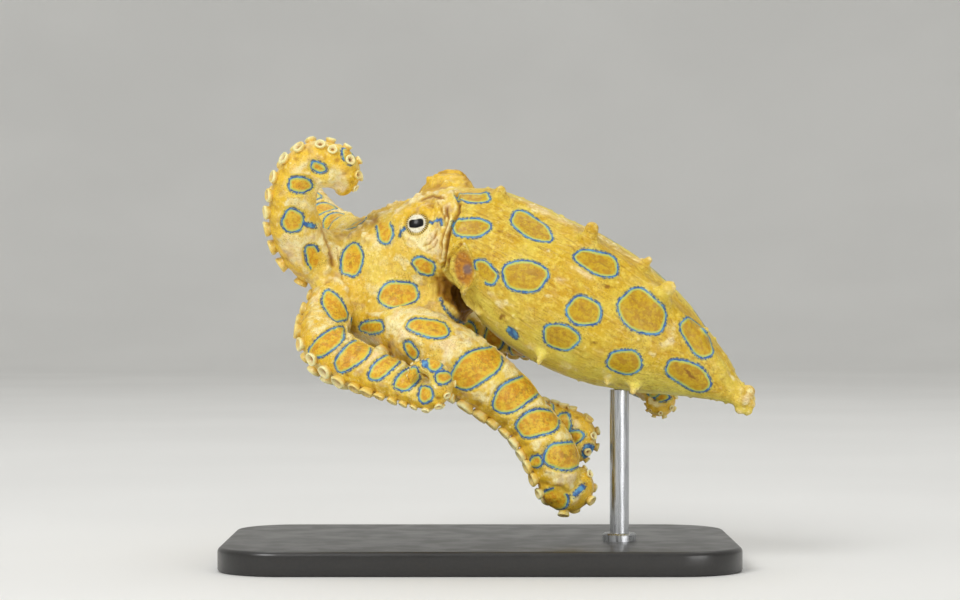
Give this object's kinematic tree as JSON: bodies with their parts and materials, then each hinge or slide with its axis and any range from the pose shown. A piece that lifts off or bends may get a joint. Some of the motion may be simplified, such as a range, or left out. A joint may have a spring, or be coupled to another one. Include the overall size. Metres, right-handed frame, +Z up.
{
  "type": "blue ringed octopus model on a display stand",
  "caption": "Life-size still model of a greater blue ringed octopus, swimming with curled arms, held over a flat base by a short rod.",
  "frame": {"origin": "middle of the underside of the display base", "axes": "+X to the right as the picture shows it, toward the mantle's tip, +Y away from the viewer, +Z up"},
  "size_m": [0.0666, 0.0456, 0.0546],
  "materials": {
    "skin": "moist satin skin, golden yellow with blue rings",
    "eye": "clear gloss over a white ring and a black slit pupil",
    "stand_base": "matte dark",
    "stand_rod": "brushed"
  },
  "bodies": {
    "root": {"mantle": "skin", "head": "skin", "crown": "skin", "funnel": "skin", "eye_left": "eye", "eye_right": "eye", "arm_left_1_base": "skin", "arm_left_1_middle": "skin", "arm_left_1_tip": "skin", "arm_left_2_base": "skin", "arm_left_2_middle": "skin", "arm_left_2_tip": "skin", "arm_left_3_base": "skin", "arm_left_3_middle": "skin", "arm_left_3_tip": "skin", "arm_left_4_base": "skin", "arm_left_4_middle": "skin", "arm_left_4_tip": "skin", "arm_right_1_base": "skin", "arm_right_1_middle": "skin", "arm_right_1_tip": "skin", "arm_right_2_base": "skin", "arm_right_2_middle": "skin", "arm_right_2_tip": "skin", "arm_right_3_base": "skin", "arm_right_3_middle": "skin", "arm_right_3_tip": "skin", "arm_right_4_base": "skin", "arm_right_4_middle": "skin", "arm_right_4_tip": "skin", "stand_base": "stand_base", "stand_rod": "stand_rod"}
  },
  "joints": []
}
